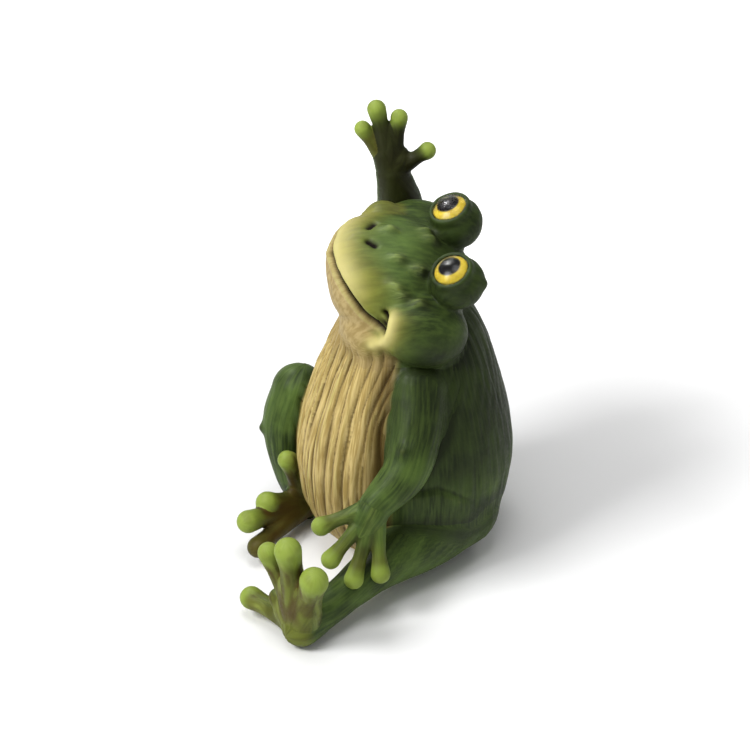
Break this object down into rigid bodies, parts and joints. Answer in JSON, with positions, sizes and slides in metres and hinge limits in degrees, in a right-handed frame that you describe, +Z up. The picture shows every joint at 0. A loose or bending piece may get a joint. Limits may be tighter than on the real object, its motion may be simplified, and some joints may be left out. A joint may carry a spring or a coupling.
{
  "type": "frog figurine",
  "caption": "Sitting frog ornament in hand painted cast resin, right arm raised, left leg stretched out, eyes turned up, resting on felt pads",
  "frame": {"origin": "centre of the felt pad under the seat, on the surface that the figure sits on", "axes": "+Z up out of the surface, -Y the way the frog's chest faces, +X the frog's left"},
  "size_m": [0.1019, 0.1219, 0.1581],
  "materials": {
    "body_resin": "hand painted cast polyresin, satin, olive green with tan belly",
    "head_resin": "hand painted cast polyresin, satin, green crown fading to pale yellow lips",
    "eye_yellow": "glossy painted yellow iris ring",
    "eye_black": "glossy black pupil",
    "eye_clear": "clear varnish dome",
    "steel": "plain drawn steel",
    "felt": "dark green wool felt",
    "plug_rubber": "matt soft stopper"
  },
  "bodies": {
    "root": {"torso_casting": "body_resin", "head_casting": "head_resin", "straight_leg_casting": "body_resin", "bent_leg_casting": "body_resin", "raised_arm_casting": "body_resin", "resting_arm_casting": "body_resin", "base_plug": "plug_rubber", "seat_pad": "felt", "straight_heel_pad": "felt", "bent_heel_pad": "felt", "neck_dowel": "steel", "straight_leg_dowel": "steel", "bent_leg_dowel": "steel", "resting_arm_dowel": "steel", "raised_arm_wire": "steel", "left_iris": "eye_yellow", "right_iris": "eye_yellow", "left_pupil": "eye_black", "right_pupil": "eye_black", "left_eye_lens": "eye_clear", "right_eye_lens": "eye_clear"}
  },
  "joints": []
}
